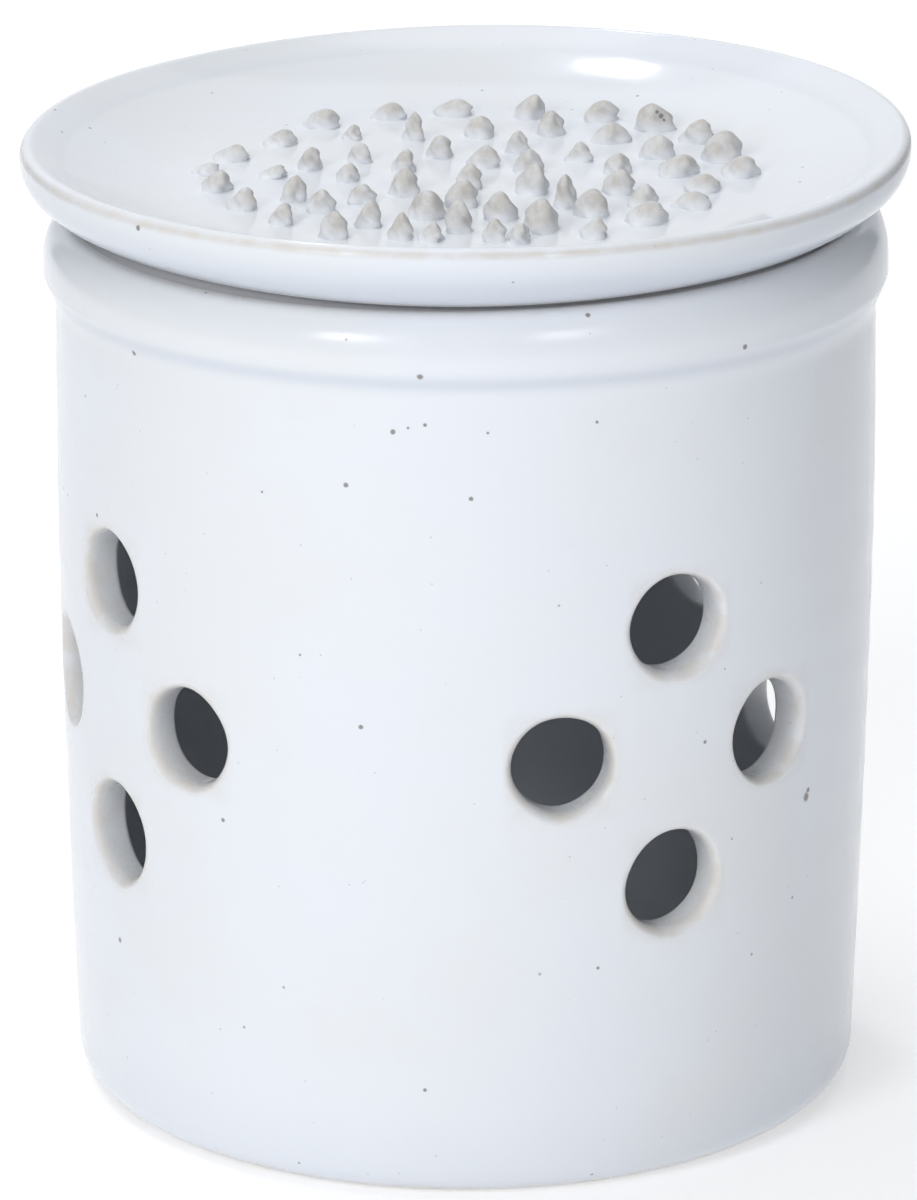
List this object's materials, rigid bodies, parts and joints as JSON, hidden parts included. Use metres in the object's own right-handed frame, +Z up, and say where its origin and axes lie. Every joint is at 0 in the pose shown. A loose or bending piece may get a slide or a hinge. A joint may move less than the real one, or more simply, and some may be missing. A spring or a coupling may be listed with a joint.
{
  "type": "garlic keeper",
  "caption": "Round stoneware garlic keeper: a vented crock with a rolled collar, closed by a lift-off dish lid whose floor carries raised grating points.",
  "frame": {"origin": "centre of the crock's foot, on the surface it stands on", "axes": "+Z up the turned axis; the four groups of vents face +X, +Y, -X and -Y"},
  "size_m": [0.1334, 0.1334, 0.1476],
  "materials": {
    "crock_glaze": "glossy speckled white glaze",
    "lid_glaze": "glossy speckled white glaze, thin and satin over the points"
  },
  "bodies": {
    "crock": {"crock": "crock_glaze"},
    "lid": {"grater_lid": "lid_glaze"}
  },
  "joints": [
    {"name": "lid_lift", "type": "slide", "parent": "crock", "child": "lid", "axis": [0, 0, 1], "range_m": [0, 0.09]}
  ]
}
